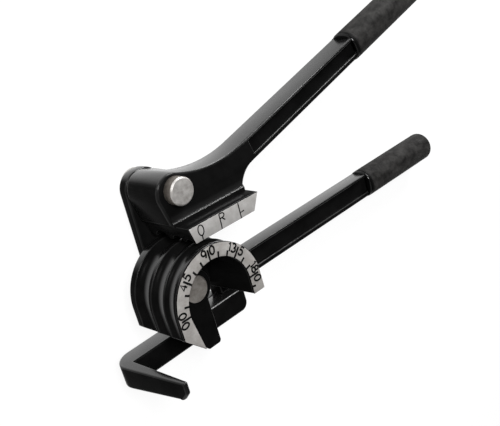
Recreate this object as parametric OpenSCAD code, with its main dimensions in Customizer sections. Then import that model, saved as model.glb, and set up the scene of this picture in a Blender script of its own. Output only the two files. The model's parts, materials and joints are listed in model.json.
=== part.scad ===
// Lever tube bender for three tube sizes.
// +Z runs along the two pivot pins and out of the degree scale, +X along the fixed handle.
// The origin lies on the bend centre, level with the lowest side of the fixed grip.

/* [Pose] */
// Bend angle that the tool is set to, read on the degree scale
bend_reading = 91.5; // [5:0.5:175]

/* [Tubes] */
// Outside diameter of the smallest tube (front groove)
tube_small = 6.35; // [5:0.05:7]
// Outside diameter of the middle tube
tube_middle = 7.94; // [7:0.05:9]
// Outside diameter of the largest tube (back groove)
tube_large = 9.53; // [8:0.05:10]
// Room round a tube in its groove
groove_clear = 0.08; // [0.02:0.01:0.2]

/* [Former] */
// Centre-line radius of every bend
bend_r = 23.8; // [23:0.1:27]
// Depth of the former's rim below the bend's centre line
rim_drop = 0.8; // [0:0.1:1.5]
// Thickness of the rim in front of the small groove, scale included
front_lip = 2.55; // [1.5:0.05:5]
// Rib between the small and the middle groove
front_rib = 0.6; // [0.4:0.1:2]
// Rib between the middle and the large groove
back_rib = 1.8; // [0.5:0.1:3]
// Thickness of the rim behind the large groove
back_lip = 3.75; // [2:0.05:6]
// Width of the rim's face round the pocket
face_w = 6.2; // [5:0.1:8]
// How far the pocket's wall leans in from the face to the floor
pocket_draft = 2.2; // [0:0.1:4]
// Thickness of the floor behind the pocket
pocket_floor = 7; // [5:0.1:10]
// Length of the straight rim below the bend centre, on the handle's side
right_leg = 8.2; // [6:0.1:12]
// Distance from the bend centre to the slanted cut of the straight rim
leg_cut = 22.3; // [20:0.1:24]
// Angle by which the straight rim's inner side leans towards the hub
leg_lean = 9; // [0:0.5:12]
// Distance from the bend centre down to where that lean starts
leg_lean_start = 1.5; // [1:0.1:3]
// Radius of the hub round the centre pin
hub_r = 8.6; // [8:0.1:10]
// How far the hub and the neck stand above the pocket's floor
hub_rise = 8.5; // [5:0.1:12]
// Distance from the bend centre to the neck's side towards the handle
neck_side = 5; // [4:0.1:7]
// Distance from the bend centre down to the neck's front end
neck_drop = 29.5; // [26:0.1:31]
// Rounding of the neck's corners
neck_corner_r = 1.5; // [0.5:0.1:3]
// Distance from the bend centre to the end of the neck's foot
neck_foot_side = 9; // [8:0.1:11]
// Height of the neck's foot above the bar
neck_foot_rise = 8.5; // [6:0.1:10]
// Thickness of the degree scale
scale_t = 0.8; // [0.4:0.1:1.2]

/* [Hook bar] */
// Distance from the bend centre down to the top of the bar
bar_top = 21.9; // [21:0.1:24]
// Height of the bar
bar_h = 10.9; // [9:0.1:12]
// Thickness of the bar, front to back
bar_depth = 10; // [9:0.1:12]
// Distance from the bend centre to the bar's end on the handle's side
bar_end = 35.7; // [34:0.1:38]
// Rounding of that end
bar_end_r = 4; // [2:0.5:5]
// Free space between the largest tube and the hook
hook_space = 2.4; // [1:0.1:4]
// Thickness of the hook's arm at its root
arm_root_t = 5.6; // [4:0.1:7]
// Thickness of the hook's arm at its tip
arm_tip_t = 2.2; // [1.5:0.1:4]
// How far the arm leans in towards the former at its tip
arm_lean = 1.2; // [0:0.1:2]
// Outer rounding where the arm leaves the bar
arm_bend_r = 9; // [6:0.5:9]
// How far the arm's tip stands out in front of the degree scale
arm_out = 3.3; // [0:0.1:6]
// Slanted corner under the arm's tip
arm_chamfer = 3.4; // [2:0.1:6]
// How far the arm's lower edge rises towards its tip
arm_rise = 2; // [0.2:0.1:3]
// Distance in front of the bar where that rise starts
arm_rise_start = 1; // [0.5:0.1:3]

/* [Fixed handle] */
// Distance from the bend centre to the end of the fixed grip
handle_reach = 195.5; // [180:0.5:260]
// Distance from the bend centre down to the top of the handle
handle_top = 9.55; // [9.5:0.05:11]
// Thickness of the handle's beam, front to back
handle_depth = 9; // [8:0.1:11]
// Distance from the bend centre to the handle's near end
handle_root = 27; // [26:0.5:28]
// Distance from the bend centre to the near end of the handle's foot
foot_end = 9.5; // [9:0.1:11]
// Rounding of the handle's corners
handle_corner_r = 4; // [2:0.5:5]
// Distance from the bend centre to the near end of the handle's channel
handle_channel_start = 46; // [44:0.5:60]
// Depth of the channel on each side of the handle
handle_channel_depth = 2.2; // [1:0.1:3]

/* [Beam flanges] */
// Flange above each beam's channel
upper_flange = 1.5; // [1:0.1:2.5]
// Flange below each beam's channel
lower_flange = 2.4; // [1:0.1:3]

/* [Grips] */
// Width and height of both grips
grip_w = 14.8; // [14.4:0.1:20]
// Rounding of a grip's long edges
grip_edge_r = 6.4; // [4:0.1:6.8]
// Rounding of a grip's closed end
grip_end_r = 4; // [2:0.1:6]
// Length of both grips
grip_len = 57; // [45:0.5:85]
// Thickness of a grip's closed end
grip_end_t = 6; // [3:0.1:10]
// Step on each side of a beam down to the tang inside its grip
tang_step = 0.8; // [0.5:0.1:1.5]
// How far the beams' channels run on inside the grips
channel_overrun = 5; // [2:0.5:10]

/* [Link] */
// Distance from the tube's centre line to the lever's pivot pin
pivot_rise = 23; // [22.2:0.1:26]
// Half width of the link, and radius of its lower end
link_r = 9.4; // [8.8:0.1:9.4]
// Radius of the link's upper corners
link_corner_r = 8.2; // [6:0.1:8.6]
// How far the link reaches beyond the lever's pivot
link_over = 7.5; // [7.2:0.1:8.6]
// Thickness of the link
link_t = 5; // [3:0.1:8]

/* [Pins] */
// Radius of both pivot pins
pin_r = 4.5; // [4:0.1:4.8]
// Radius of the pins' heads
pin_head_r = 6; // [5.5:0.1:6.4]
// Bevel on the pins' heads
pin_bevel = 0.7; // [0.3:0.1:0.9]
// Height of the centre pin's head
centre_pin_out = 1.5; // [1.5:0.1:6]
// Height of the lever pin's head
lever_pin_out = 5; // [1.5:0.1:9]
// Wall of the bushes in the link
bush_wall = 1.5; // [1:0.1:1.8]
// Running clearance of the pins in the bushes
bush_clear = 0.05; // [0.02:0.01:0.1]
// Width of the washers' rings round the pins
washer_ring = 2.9; // [2:0.1:2.9]
// Thickness of the washers
washer_t = 1.3; // [0.8:0.1:2]
// Thickness of the retaining clips
clip_t = 1.1; // [0.8:0.1:1.5]
// How far the clips stand out of the pins
clip_rise = 2; // [1.5:0.1:2.5]
// Depth of the clips' grooves in the pins
clip_groove = 0.6; // [0.4:0.1:1]
// Length of pin behind a clip
pin_tail = 1.6; // [1:0.1:2]

/* [Lever] */
// Distance along the lever from the pivot to the end of its grip
lever_reach = 182; // [170:0.5:240]
// Angle between the lever and the shoe
lever_angle = 15.6; // [12:0.1:18]
// Distance from the pivot down to the lever's centre line
beam_drop = 11; // [10:0.1:12]
// Height of the lever's beam
beam_h = 10.4; // [9:0.1:12]
// Thickness of the lever's beam, front to back
beam_depth = 12.4; // [10:0.1:13]
// Full depth of the lever's hub
head_depth = 21.7; // [20:0.1:24]
// Radius of the lever's hub
lever_hub_r = 8.3; // [8:0.1:9]
// How far the hub's centre lies ahead of the pivot
hub_ahead = 1.2; // [0.8:0.1:1.4]
// How far the hub's centre lies below the pivot
hub_low = 0.6; // [0.3:0.1:0.8]
// Length of the lever's head ahead of the pivot where it meets the shoe
head_foot = 6.4; // [5.6:0.1:7]
// Radius of the curve from the hub to the lever's top
sweep_r = 60; // [40:1:80]
// Radius of the notch between the lever and the shoe
notch_r = 13.3; // [12:0.1:15]
// Distance along the lever from the pivot to the near end of its channel
lever_channel_start = 46; // [45:0.5:60]
// Depth of the channel on each side of the lever
lever_channel_depth = 3; // [1:0.1:4]

/* [Shoe] */
// Gap between the former's rim and the shoe
shoe_gap = 2.45; // [1.5:0.05:3]
// Height of the shoe
shoe_h = 7.3; // [6.5:0.1:9]
// Length of the shoe's top ahead of the pivot, towards the bend
shoe_ahead = 5.2; // [4:0.1:7]
// Length of the shoe's top behind the pivot, along the tube
shoe_behind = 34; // [32:0.1:36]
// Slant of the shoe's end towards the bend
shoe_slant_ahead = 1.8; // [0:0.1:3]
// Slant of the shoe's far end
shoe_slant_behind = 4.1; // [0:0.1:6]
// How far the shoe's face lies behind the degree scale
shoe_setback = 2; // [1:0.1:4]
// Distance behind the pivot at which the shoe's flange starts
flange_start = 2.5; // [1.5:0.1:3.5]
// Height of the shoe's flange on the lever's back
flange_h = 8; // [7.5:0.1:10]
// Length of the flange's top behind the pivot
flange_len = 22; // [21:0.5:26]

/* [Screws] */
// Diameter of the screws through the bar and through the handle's foot
bar_screw_d = 5; // [4:0.5:5]
// Diameter of the screws through the shoe's flange
shoe_screw_d = 4; // [3:0.5:4]
// Metal left beyond the end of each screw
blind_wall = 2; // [1:0.1:4]
// Room round the screws' heads and shanks
screw_clear = 0.25; // [0.1:0.05:0.4]
// Distance from the bend centre to the screw into the neck
neck_screw_x = 1.2; // [0.5:0.1:2]
// Distance from each end of the handle's foot to its screws
foot_screw_edge = 6; // [5:0.1:7]
// Distance along the shoe from the pivot to its first screw
shoe_screw_start = 9.5; // [9:0.1:10.5]
// Distance between the shoe's screws
shoe_screw_pitch = 9; // [8:0.1:10]
// Diameter of the dowel between bar and neck
dowel_d = 3; // [2:0.5:3.5]
// Length of that dowel, half of it in each piece
dowel_len = 6; // [4:0.5:7]
// Metal between the dowel and the end of the neck's foot
dowel_wall = 0.8; // [0.5:0.1:1.5]

/* [Running gaps] */
// Gap between the handle and the swinging link
layer_gap = 0.5; // [0.3:0.05:1]
// Gap between the link and the former, and between the bar and the shoe
side_gap = 0.3; // [0.3:0.05:0.6]
// Play of a washer or clip on its pin
ring_play = 0.1; // [0.05:0.01:0.15]

/* [Hidden] */
$fn = 96;
// Overlap of a cutting solid past the face that it cuts
cut = 1;
// Overlap of joined solids
overlap = 0.5;
// Larger than the whole tool
far = 400;
// Socket heads: width of head and of socket in screw diameters, depth of socket in head heights
head_k = 1.6;
socket_k = 0.85;
socket_depth_k = 0.6;
// Share of the foot's thickness that a sunk head takes up
head_share = 0.55;
// Mouth of a clip in pin radii
clip_mouth_k = 0.9;
// Share of the hub's radius at which the lever's wall ends inside the hub
wall_sink = 0.995;

// Heights of the layers, from the lowest upwards
grip_z = grip_w / 2;
handle_back = grip_z - handle_depth / 2;
handle_front = grip_z + handle_depth / 2;
link_back = handle_front + layer_gap;
link_front = link_back + link_t;
former_back = link_front + side_gap;
bar_back = former_back - bar_depth;
lever_back = former_back + side_gap;
lever_front = lever_back + head_depth;
beam_back = lever_front - beam_depth;

// Grooves, counted from the back
groove_r = [for (d = [tube_large, tube_middle, tube_small]) d / 2 + groove_clear];
large_z = former_back + back_lip + groove_r[0];
middle_z = large_z + groove_r[0] + back_rib + groove_r[1];
small_z = middle_z + groove_r[1] + front_rib + groove_r[2];
groove_z = [large_z, middle_z, small_z];
dial_z = small_z + groove_r[2] + front_lip;
former_front = dial_z - scale_t;
floor_z = former_back + pocket_floor;
hub_z = floor_z + hub_rise;

// Former
rim_r = bend_r - rim_drop;
link_len = bend_r + pivot_rise;
pocket_r = rim_r - face_w;
pocket_floor_r = pocket_r - pocket_draft;
bar_low = -bar_top - bar_h;
bar_mid = -bar_top - bar_h / 2;

// Hook arm
arm_in = -(bend_r + tube_large / 2 + hook_space);
arm_out_x = arm_in - arm_root_t;
arm_tip_z = dial_z + arm_out;
arm_tip = [arm_in + arm_lean - arm_tip_t, arm_tip_z];
// Its outer side touches the rounding at arm_touch and would meet the bar's back at arm_heel
arm_bend_c = [arm_out_x + arm_bend_r, bar_back + arm_bend_r];
arm_line = arm_tip - arm_bend_c;
arm_touch_angle = atan2(arm_line.y, arm_line.x) + acos(arm_bend_r / norm(arm_line));
arm_touch = arm_bend_c + arm_bend_r * [cos(arm_touch_angle), sin(arm_touch_angle)];
arm_heel = arm_tip + (arm_touch - arm_tip) * (arm_tip_z - bar_back) / (arm_tip_z - arm_touch.y);

// Grips: distance from the axis to the rounded long edges
grip_corner = grip_edge_r + sqrt(2) * (grip_w / 2 - grip_edge_r);

// Fixed handle and its grip
handle_h = bar_top - handle_top;
handle_mid = -(handle_top + handle_h / 2);
handle_mouth = handle_reach - grip_len;

// Lever: its axis starts below the pivot and runs along the unit vector beam_u
pivot = [0, link_len];
beam_u = [cos(lever_angle), sin(lever_angle)];
beam_n = [-sin(lever_angle), cos(lever_angle)];
axis_start = [0, link_len - beam_drop];
lever_mouth = lever_reach - grip_len;
lever_grip_z = lever_front - beam_depth / 2;

// Shoe
shoe_low = rim_r + shoe_gap;
seat_y = shoe_low + shoe_h;
shoe_face = dial_z - shoe_setback;
shoe_front = shoe_face - scale_t;
flange_top = seat_y + flange_h;

// Lever's hub, and the wall in front of it that runs from the hub to the shoe
hub_c = pivot - [hub_ahead, hub_low];
wall_foot = [-head_foot, seat_y];
wall_v = wall_foot - hub_c;
wall_angle = atan2(wall_v.y, wall_v.x) - acos(lever_hub_r / norm(wall_v));
wall_head = hub_c + wall_sink * lever_hub_r * [cos(wall_angle), sin(wall_angle)];

// Curve from the hub to the lever's top: touches the hub and the beam's upper edge
top_start = axis_start + beam_n * beam_h / 2;
sweep_v = top_start + beam_n * sweep_r - hub_c;
sweep_s = reach_along(sweep_v, sweep_r + lever_hub_r);
sweep_c = top_start + beam_u * sweep_s + beam_n * sweep_r;
sweep_on_beam = top_start + beam_u * sweep_s;
sweep_on_hub = hub_c + (sweep_c - hub_c) * lever_hub_r / (sweep_r + lever_hub_r);

// Notch: touches the beam's lower edge and meets the shoe's far top corner
low_start = axis_start - beam_n * beam_h / 2;
shoe_corner = [shoe_behind, seat_y];
notch_v = low_start - beam_n * notch_r - shoe_corner;
notch_s = reach_along(notch_v, notch_r);
notch_c = low_start + beam_u * notch_s - beam_n * notch_r;
notch_on_beam = low_start + beam_u * notch_s;

// Pins, from the link's back downwards
washer_back = link_back - ring_play - washer_t;
clip_back = washer_back - ring_play - clip_t;
pin_back = clip_back - pin_tail;
eye_r = pin_r + bush_clear + bush_wall;

// Screws: heights of the heads and of the metal under them
neck_head = bar_screw_d;
neck_grip = bar_depth - neck_head;
foot_t = bar_back - handle_back;
foot_head = head_share * foot_t;
foot_grip = foot_t - foot_head;
flange_t = beam_back - lever_back;
flange_head = shoe_screw_d;
flange_grip = flange_t - flange_head;
neck_shank = neck_grip + neck_foot_rise - blind_wall;
foot_shank = foot_grip + bar_depth - blind_wall;
flange_shank = flange_grip + beam_depth - blind_wall;
dowel_x = neck_foot_side - dowel_wall - dowel_d / 2;
handle_screw_x = [foot_end + foot_screw_edge, bar_end - foot_screw_edge];
shoe_screw_x = [shoe_screw_start, shoe_screw_start + shoe_screw_pitch];
shoe_screw_y = seat_y + flange_h / 2;

// Distance along the beam at which a point offset by v lies dist away
function reach_along(v, dist) =
    let (along = v * beam_u) -along + sqrt(along * along - v * v + dist * dist);

// Colours
paint = [0.13, 0.13, 0.14];
bare = [0.80, 0.80, 0.79];
steel = [0.68, 0.67, 0.65];
bronze = [0.70, 0.53, 0.30];
soft = [0.20, 0.20, 0.20];

// Shared shapes

// Turns the link and the lever about the bend centre to the angle read on the scale
module at_bend() {
    rotate([0, 0, 90 - bend_reading]) children();
}

// Puts a shape that runs along +X on the lever's centre line
module along_lever(z) {
    translate([axis_start.x, axis_start.y, z]) rotate([0, 0, lever_angle]) children();
}

// Solid of the given outline between two heights
module slab(low, high) {
    translate([0, 0, low]) linear_extrude(high - low) children();
}

// Box from one corner to the opposite one
module block(from, to) {
    translate(from) cube(to - from);
}

// Square with rounded corners, about the origin
module rounded_square(w, r) {
    square([w, w - 2 * r], center = true);
    square([w - 2 * r, w], center = true);
    for (sx = [-1, 1], sy = [-1, 1]) translate([sx, sy] * (w / 2 - r)) circle(r);
}

// Round bar along +X whose far end has a rounded edge
module round_ended(r, len, end_r) {
    rotate([0, 90, 0]) rotate_extrude() difference() {
        square([r, len]);
        translate([r - end_r, len - end_r]) corner_waste(end_r, 1, 1);
    }
}

// Soft grip along +X: mouth at the origin, closed end rounded, with a socket for the tang
module grip(beam_w, beam_t) {
    difference() {
        intersection() {
            rotate([90, 0, 90]) linear_extrude(grip_len) rounded_square(grip_w, grip_edge_r);
            round_ended(grip_corner, grip_len, grip_end_r);
        }
        tang(beam_w, beam_t);
    }
}

// Tang along +X at the end of a beam of the given section, from the grip's mouth inwards
module tang(beam_w, beam_t) {
    tang_w = beam_w - 2 * tang_step;
    tang_t = beam_t - 2 * tang_step;
    block([-overlap, -tang_w / 2, -tang_t / 2], [grip_len - grip_end_t, tang_w / 2, tang_t / 2]);
}

// Channels along a beam of the given section, one on each broad side
module channels(from, to, h, depth, channel_depth) {
    for (s = [-1, 1])
        translate([from, lower_flange - h / 2, s * depth / 2])
            translate([0, 0, -channel_depth])
                cube([to - from, h - lower_flange - upper_flange, 2 * channel_depth]);
}

// Pivot pin along +Z: a bevelled head that rests on a seat, and a clip groove at its tail
module pin(seat, head_h) {
    difference() {
        union() {
            translate([0, 0, pin_back]) cylinder(r = pin_r, h = seat + overlap - pin_back);
            translate([0, 0, seat]) cylinder(r = pin_head_r, h = head_h - pin_bevel);
            translate([0, 0, seat + head_h - pin_bevel])
                cylinder(r1 = pin_head_r, r2 = pin_head_r - pin_bevel, h = pin_bevel);
        }
        translate([0, 0, clip_back - ring_play]) difference() {
            cylinder(r = pin_r + cut, h = clip_t + 2 * ring_play);
            translate([0, 0, -cut]) cylinder(r = pin_r - clip_groove, h = clip_t + 2 * cut);
        }
    }
}

module washer() {
    translate([0, 0, washer_back]) difference() {
        cylinder(r = pin_r + washer_ring, h = washer_t);
        translate([0, 0, -cut]) cylinder(r = pin_r + ring_play, h = washer_t + 2 * cut);
    }
}

// Open spring ring that sits in a pin's groove
module clip() {
    mouth = clip_mouth_k * pin_r;
    translate([0, 0, clip_back]) difference() {
        cylinder(r = pin_r + clip_rise, h = clip_t);
        translate([0, 0, -cut]) cylinder(r = pin_r - clip_groove + ring_play, h = clip_t + 2 * cut);
        translate([0, -mouth / 2, -cut]) cube([2 * pin_r, mouth, clip_t + 2 * cut]);
    }
}

module bush() {
    translate([0, 0, link_back]) difference() {
        cylinder(r = eye_r, h = link_t);
        translate([0, 0, -cut]) cylinder(r = pin_r + bush_clear, h = link_t + 2 * cut);
    }
}

// Socket-head screw along +Z: the head's outer face at z = 0, then the shank
module cap_screw(d, head_h, shank) {
    difference() {
        union() {
            cylinder(d = head_k * d, h = head_h);
            cylinder(d = d, h = head_h + shank);
        }
        translate([0, 0, -cut]) cylinder(d = socket_k * d, h = cut + socket_depth_k * head_h, $fn = 6);
    }
}

// Counterbore and clearance hole through the piece under the head
module cap_screw_room(d, head_h, grip_l) {
    translate([0, 0, -cut]) cylinder(d = head_k * d + 2 * screw_clear, h = cut + head_h);
    cylinder(d = d + 2 * screw_clear, h = head_h + grip_l + cut);
}

// Tight hole in the far piece
module thread_room(d, length) {
    cylinder(d = d, h = length);
}

// Places where the screws' heads begin
module at_neck_screw() {
    translate([neck_screw_x, bar_mid, bar_back]) children();
}

module at_handle_screws() {
    for (x = handle_screw_x) translate([x, bar_mid, handle_back]) children();
}

module at_shoe_screws() {
    for (x = shoe_screw_x) translate([x, shoe_screw_y, lever_back]) children();
}

// Dowel, half in the bar and half in the neck
module dowel_solid() {
    translate([dowel_x, bar_mid, former_back - dowel_len / 2]) cylinder(d = dowel_d, h = dowel_len);
}

// Waste outside a rounded corner: the corner points along [sx, sy] from the arc's centre
module corner_waste(r, sx, sy) {
    difference() {
        translate([min(0, sx * (r + cut)), min(0, sy * (r + cut))]) square(r + cut);
        circle(r);
    }
}

// Former

// Section of the rim: distance from the bend centre across, height up
module rim_section(front) {
    difference() {
        polygon([[pocket_floor_r, former_back], [rim_r, former_back], [rim_r, front],
                 [pocket_r, front], [pocket_floor_r, floor_z]]);
        for (i = [0:2]) translate([bend_r, groove_z[i]]) circle(groove_r[i]);
    }
}

// Straight length of rim that runs down from the bend's end
module straight_rim(len) {
    rotate([90, 0, 0]) linear_extrude(len) rim_section(former_front);
}

// Everything on the tool's side of the slanted cut
module slanted_keep() {
    rotate([0, 0, 45]) translate([-leg_cut, -far / 2]) square([far, far]);
}

// The straight rim's front below the arc, wider towards the slanted cut
module leg_outline() {
    low = -neck_drop;
    intersection() {
        polygon([[-rim_r, low], [-pocket_r + (neck_drop - leg_lean_start) * tan(leg_lean), low],
                 [-pocket_r, -leg_lean_start], [-pocket_r, 0], [-rim_r, 0]]);
        slanted_keep();
    }
}

// The part of that front which stands on the neck
module leg_wedge_outline() {
    intersection() {
        leg_outline();
        translate([-pocket_r - overlap, -far / 2]) square([far, far]);
    }
}

// Neck from the hub down past the bar's top
module neck_outline() {
    wall_x = -pocket_r;
    intersection() {
        difference() {
            translate([wall_x, -neck_drop]) square([neck_side - wall_x, neck_drop]);
            translate([neck_side - neck_corner_r, neck_corner_r - neck_drop])
                corner_waste(neck_corner_r, 1, -1);
        }
        slanted_keep();
    }
}

// Foot under the neck that is screwed to the bar
module neck_foot_outline() {
    wall_x = -pocket_r;
    intersection() {
        translate([wall_x, bar_low]) square([neck_foot_side - wall_x, bar_h]);
        slanted_keep();
    }
}

module former() {
    color(paint) difference() {
        union() {
            rotate_extrude(angle = 180) rim_section(former_front);
            straight_rim(right_leg);
            intersection() {
                mirror([1, 0, 0]) straight_rim(neck_drop);
                slab(0, far) slanted_keep();
            }
            slab(former_back, floor_z) intersection() {
                circle(pocket_floor_r + overlap);
                translate([-far / 2, -right_leg]) square([far, far]);
            }
            slab(former_back, hub_z) circle(hub_r);
            slab(former_back, hub_z) neck_outline();
            slab(hub_z - overlap, former_front) leg_wedge_outline();
            slab(former_back, former_back + neck_foot_rise) neck_foot_outline();
        }
        translate([0, 0, former_back - cut]) cylinder(r = pin_r, h = far);
        at_neck_screw() thread_room(bar_screw_d, neck_head + neck_shank);
        dowel_solid();
    }
}

module degree_scale() {
    color(bare) slab(former_front, dial_z) {
        intersection() {
            difference() {
                circle(rim_r);
                circle(pocket_r);
            }
            translate([-far / 2, 0]) square([far, far]);
        }
        translate([pocket_r, -right_leg]) square([face_w, right_leg]);
        leg_outline();
    }
}

// Hook bar

// The bar and the hook's arm seen from above the bar: across, then towards the scale
module hook_plan() {
    difference() {
        polygon([arm_heel, [bar_end, bar_back], [bar_end, former_back], [arm_in, former_back],
                 [arm_in + arm_lean, arm_tip_z], arm_tip]);
        difference() {
            polygon([arm_heel, arm_touch, [arm_bend_c.x, bar_back]]);
            translate(arm_bend_c) circle(arm_bend_r);
        }
    }
}

// Metal under the arm's rising lower edge: height, then towards the scale
module arm_waste() {
    start = former_back + arm_rise_start;
    slope = arm_rise / (arm_tip_z - start);
    rotate([90, 0, 90]) linear_extrude(far, center = true)
        polygon([[bar_low, start], [bar_low + arm_rise + slope * cut, arm_tip_z + cut],
                 [bar_low - cut, arm_tip_z + cut], [bar_low - cut, start]]);
}

module hook_bar() {
    color(paint) difference() {
        translate([0, -bar_top, 0]) rotate([90, 0, 0]) linear_extrude(bar_h) hook_plan();
        slab(0, former_back + cut)
            translate([bar_end - bar_end_r, bar_low + bar_end_r]) corner_waste(bar_end_r, 1, -1);
        arm_waste();
        translate([0, bar_low + arm_rise, arm_tip_z]) rotate([45, 0, 0])
            cube([far, sqrt(2) * arm_chamfer, sqrt(2) * arm_chamfer], center = true);
        at_neck_screw() cap_screw_room(bar_screw_d, neck_head, neck_grip);
        at_handle_screws() thread_room(bar_screw_d, foot_head + foot_shank);
        dowel_solid();
    }
}

module neck_screw() {
    color(steel) at_neck_screw() cap_screw(bar_screw_d, neck_head, neck_shank);
}

module neck_dowel() {
    color(steel) dowel_solid();
}

// Fixed handle

// The handle's side view: beam, and the foot that lies behind the bar
module handle_outline() {
    translate([handle_root, -bar_top]) square([handle_mouth - handle_root, handle_h]);
}

module foot_outline() {
    r = handle_corner_r;
    foot_far = bar_end + r;
    translate([foot_end, bar_low]) square([foot_far - r - foot_end, bar_h]);
    translate([foot_end, bar_low + r]) square([foot_far - foot_end, bar_h - r]);
    translate([foot_far - r, bar_low + r]) circle(r);
    difference() {
        translate([foot_far, -bar_top - r]) square([r, r]);
        translate([foot_far + r, -bar_top - r]) circle(r);
    }
}

module fixed_handle() {
    color(paint) difference() {
        union() {
            slab(handle_back, handle_front) handle_outline();
            slab(handle_back, bar_back) foot_outline();
            translate([handle_mouth, handle_mid, grip_z]) tang(handle_h, handle_depth);
        }
        translate([0, handle_mid, grip_z])
            channels(handle_channel_start, handle_mouth + channel_overrun, handle_h, handle_depth,
                     handle_channel_depth);
        slab(0, far) translate([handle_root + handle_corner_r, -handle_top - handle_corner_r])
            corner_waste(handle_corner_r, -1, 1);
        at_handle_screws() cap_screw_room(bar_screw_d, foot_head, foot_grip);
    }
}

module handle_screws() {
    color(steel) at_handle_screws() cap_screw(bar_screw_d, foot_head, foot_shank);
}

module fixed_grip() {
    color(soft) translate([handle_mouth, handle_mid, grip_z]) grip(handle_h, handle_depth);
}

// Centre pin and link

module centre_pin() {
    color(steel) pin(hub_z, centre_pin_out);
}

module centre_washer() {
    color(steel) washer();
}

module centre_clip() {
    color(steel) clip();
}

module link_outline() {
    corner_x = link_r - link_corner_r;
    corner_y = link_len + link_over - link_corner_r;
    circle(link_r);
    translate([-link_r, 0]) square([2 * link_r, corner_y]);
    translate([-corner_x, 0]) square([2 * corner_x, link_len + link_over]);
    for (s = [-1, 1]) translate([s * corner_x, corner_y]) circle(link_corner_r);
}

module link() {
    color(paint) at_bend() slab(link_back, link_front) difference() {
        link_outline();
        circle(eye_r);
        translate(pivot) circle(eye_r);
    }
}

module centre_bush() {
    color(bronze) at_bend() bush();
}

module lever_bush() {
    color(bronze) at_bend() translate(pivot) bush();
}

// Lever

module lever_outline() {
    difference() {
        union() {
            translate(hub_c) circle(lever_hub_r);
            polygon([hub_c, wall_head, wall_foot, shoe_corner, notch_on_beam,
                     low_start + beam_u * lever_mouth, top_start + beam_u * lever_mouth,
                     sweep_on_beam, sweep_on_hub]);
        }
        translate(sweep_c) circle(sweep_r, $fn = 360);
        translate(notch_c) circle(notch_r);
    }
}

// Room behind the lever for the shoe's flange, and beyond the hub
module back_waste() {
    block_end = flange_start - ring_play;
    hub_end = hub_c.x + lever_hub_r;
    step_y = flange_top + ring_play;
    polygon([[block_end, seat_y - cut], [far, seat_y - cut], [far, far], [hub_end, far],
             [hub_end, step_y], [block_end, step_y]]);
}

module lever() {
    color(paint) at_bend() difference() {
        union() {
            slab(lever_back, lever_front) lever_outline();
            along_lever(lever_grip_z) translate([lever_mouth, 0, 0]) tang(beam_h, beam_depth);
        }
        slab(lever_back - cut, beam_back) back_waste();
        along_lever(lever_grip_z)
            channels(lever_channel_start, lever_mouth + channel_overrun, beam_h, beam_depth,
                     lever_channel_depth);
        translate([pivot.x, pivot.y, lever_back - cut]) cylinder(r = pin_r, h = far);
        at_shoe_screws() thread_room(shoe_screw_d, flange_head + flange_shank);
    }
}

module lever_pin() {
    color(steel) at_bend() translate(pivot) pin(lever_front, lever_pin_out);
}

module lever_washer() {
    color(steel) at_bend() translate(pivot) washer();
}

module lever_clip() {
    color(steel) at_bend() translate(pivot) clip();
}

module lever_grip() {
    color(soft) at_bend() along_lever(lever_grip_z)
        translate([lever_mouth, 0, 0]) grip(beam_h, beam_depth);
}

// Shoe

module shoe_outline() {
    polygon([[-shoe_ahead, seat_y], [shoe_slant_ahead - shoe_ahead, shoe_low],
             [shoe_behind - shoe_slant_behind, shoe_low], shoe_corner]);
}

// Flange that lies on the lever's back beside the hub
module flange_outline() {
    polygon([[flange_start, seat_y], [shoe_behind - shoe_slant_behind, seat_y],
             [flange_len, flange_top], [flange_start, flange_top]]);
}

module shoe() {
    color(paint) at_bend() difference() {
        union() {
            slab(lever_back, shoe_front) shoe_outline();
            slab(lever_back, beam_back) flange_outline();
        }
        for (i = [0:2]) translate([-far / 2, bend_r, groove_z[i]])
            rotate([0, 90, 0]) cylinder(r = groove_r[i], h = far);
        at_shoe_screws() cap_screw_room(shoe_screw_d, flange_head, flange_grip);
    }
}

module shoe_scale() {
    color(bare) at_bend() slab(shoe_front, shoe_face) shoe_outline();
}

module shoe_screws() {
    color(steel) at_bend() at_shoe_screws() cap_screw(shoe_screw_d, flange_head, flange_shank);
}

former();
degree_scale();
hook_bar();
neck_screw();
neck_dowel();
fixed_handle();
handle_screws();
fixed_grip();
centre_pin();
centre_washer();
centre_clip();
link();
centre_bush();
lever_bush();
lever();
lever_pin();
lever_washer();
lever_clip();
shoe();
shoe_scale();
shoe_screws();
lever_grip();
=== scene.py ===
"""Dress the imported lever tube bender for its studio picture.

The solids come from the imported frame. Their sharp edges are rounded over, the lever's foot gets
its fillet, the scales get their marks, and every piece gets a procedural finish.
"""

from __future__ import annotations

import json
import logging
import math
from collections.abc import Callable
from dataclasses import dataclass, field
from enum import Enum
from typing import ClassVar

import bmesh
import bpy
from mathutils import Matrix, Vector

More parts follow.
